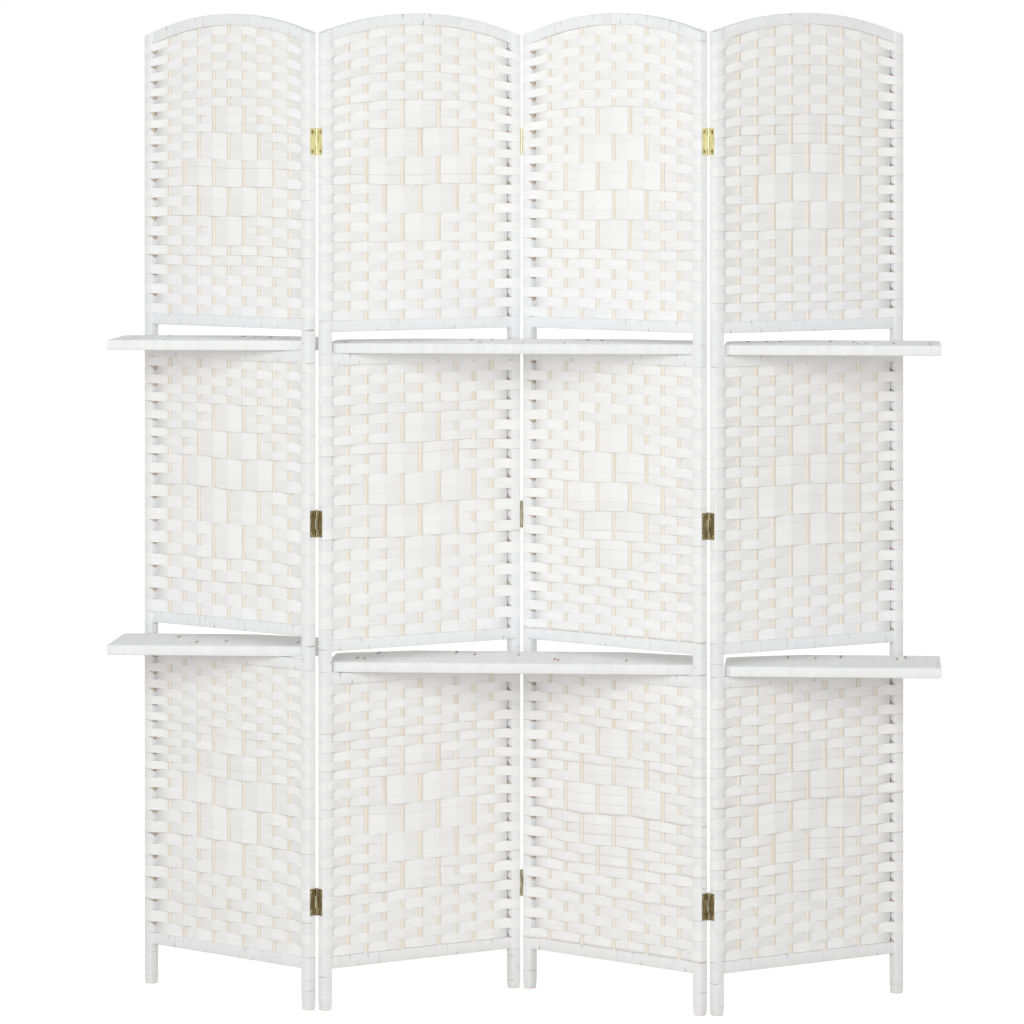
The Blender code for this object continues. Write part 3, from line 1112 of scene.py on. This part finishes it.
bright_brass = brass_finish("bright_brass", (0.85, 0.82, 0.59), (0.70, 0.66, 0.42), 0.58)
# The middle and lower hinges are darker than the top ones.
darker_brass = brass_finish("darker_brass", (0.48, 0.42, 0.26), (0.26, 0.22, 0.12), 0.50)
screw_brass = brass_finish("screw_brass", (0.50, 0.40, 0.20), (0.26, 0.19, 0.08), 0.25)
hinge_levels = ("lower", "middle", "upper")
for joint in (1, 2, 3):
    for level in hinge_levels:
        for part in ("left_leaf", "right_leaf", "pin"):
            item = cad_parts[f"joint_{joint}_{level}_hinge_{part}"]
            item.data.materials.clear()
            item.data.materials.append(bright_brass if level == "upper" else darker_brass)
print("Hinges dressed:", 3 * len(hinge_levels))

# %% [markdown]
# Each leaf is held by two screws with very low heads, so that the leaves can close on each
# other. A head is spun from half its profile, as on a lathe, and its crown is inset to make the
# socket. The mesh for each facing is made once and then set at every hole.

# %% Screws
screw_radius = 0.0033
screw_height = 0.0006
socket_inset = 0.0002
weld_distance = 0.00001
screw_from_end = 0.0060
screw_from_pin = 0.0098
leaf_face_gap = 0.0011
pin_offset = post_side / 2 + 0.001
hinge_gap = 0.0046


def screw_head(facing):
    """A domed head with a round socket. Its flat side is at the origin, and it faces along x."""
    shape = bmesh.new()
    profile = [(1.0, 0.0), (0.94, 0.45), (0.66, 0.88), (0.30, 1.0)]
    start = [shape.verts.new((height * screw_height, radius * screw_radius, 0.0))
             for radius, height in profile]
    edges = [shape.edges.new(pair) for pair in zip(start, start[1:])]
    bmesh.ops.spin(shape, geom=start + edges, cent=(0, 0, 0), axis=(1, 0, 0), dvec=(0, 0, 0),
                   angle=2 * math.pi, steps=10, use_merge=True, use_duplicate=False)
    bmesh.ops.remove_doubles(shape, verts=shape.verts, dist=weld_distance)
    rim = [edge for edge in shape.edges if edge.is_boundary and edge.verts[0].co.x > screw_height / 2]
    crown = bmesh.ops.contextual_create(shape, geom=rim)["faces"]
    bmesh.ops.recalc_face_normals(shape, faces=shape.faces)
    bmesh.ops.inset_region(shape, faces=crown, thickness=socket_inset, depth=-socket_inset)
    bmesh.ops.scale(shape, verts=shape.verts, vec=(facing, 1.0, 1.0))
    bmesh.ops.recalc_face_normals(shape, faces=shape.faces)
    mesh = bpy.data.meshes.new("screw_head")
    shape.to_mesh(mesh)
    shape.free()
    return mesh


heads = {facing: screw_head(facing) for facing in (1, -1)}
for joint in (1, 2, 3):
    pin_side = -1 if joint == 2 else 1
    for level in hinge_levels:
        low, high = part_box(f"joint_{joint}_{level}_hinge_left_leaf")
        for part, number, pivot, facing in (("left", joint, panel_width + hinge_gap / 2, 1),
                                            ("right", joint + 1, -hinge_gap / 2, -1)):
            shape = bmesh.new()
            for z in (low.z + screw_from_end, high.z - screw_from_end):
                there = Matrix.Translation((pivot - facing * leaf_face_gap,
                                            pin_side * (pin_offset - screw_from_pin), z))
                heads[facing].transform(there)
                shape.from_mesh(heads[facing])
                heads[facing].transform(there.inverted())
            add_piece(f"joint_{joint}_{level}_hinge_{part}_screws", shape, f"panel_{number}",
                      [screw_brass], panels[number])
print("Screws:", 3 * len(hinge_levels) * 4)
